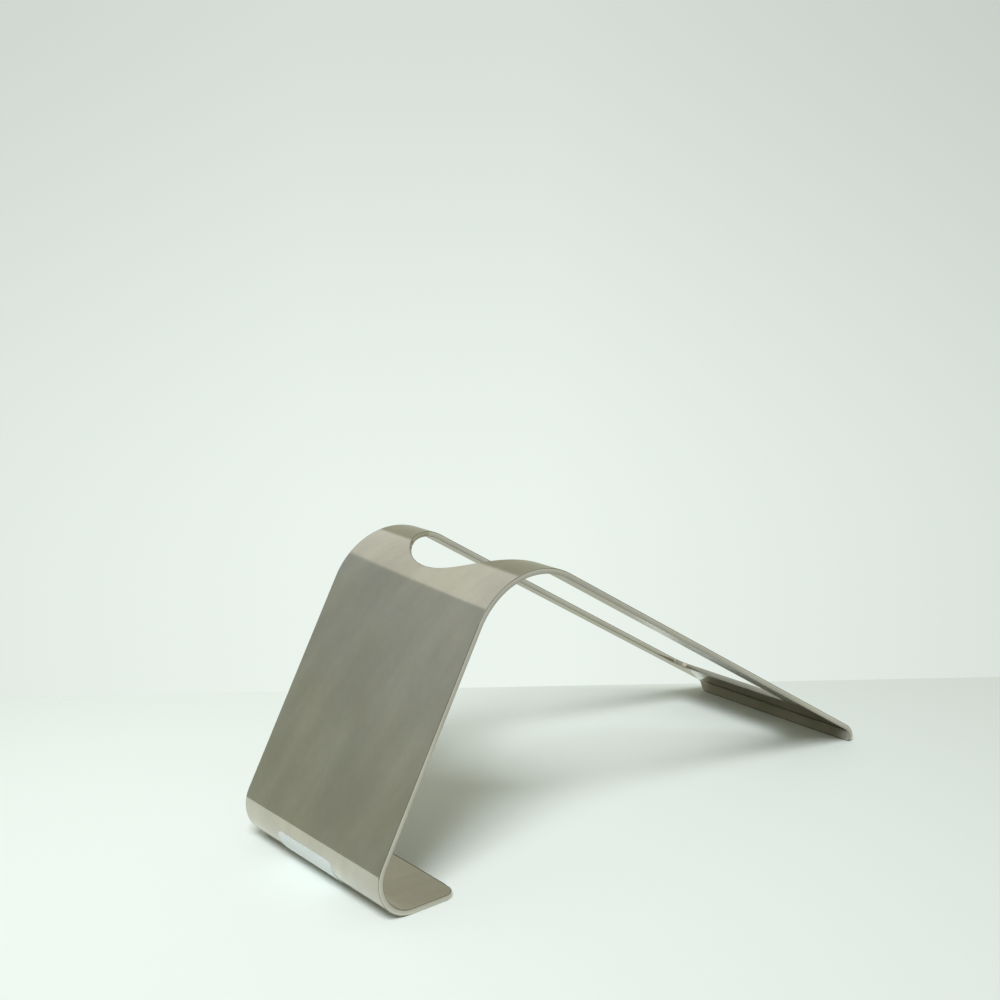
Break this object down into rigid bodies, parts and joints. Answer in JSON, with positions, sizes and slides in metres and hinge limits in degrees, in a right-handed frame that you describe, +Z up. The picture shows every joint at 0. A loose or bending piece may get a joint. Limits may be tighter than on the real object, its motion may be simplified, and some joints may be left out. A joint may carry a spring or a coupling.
{
  "type": "wine bottle stand",
  "caption": "Polished steel wine bottle stand folded from one strip of sheet, with a long rounded opening that cradles a bottle on a slope.",
  "frame": {"origin": "middle of the bounding box at table level", "axes": "+X from the foot to the heel, so the cradle slopes down along it; +Y across the strip; +Z up"},
  "size_m": [0.2321, 0.0826, 0.1033],
  "materials": {
    "polished_steel": "mirror-polished stainless steel, lightly handled",
    "sticker_paper": "white coated paper, blank"
  },
  "bodies": {
    "root": {"stand": "polished_steel", "sticker": "sticker_paper"}
  },
  "joints": []
}
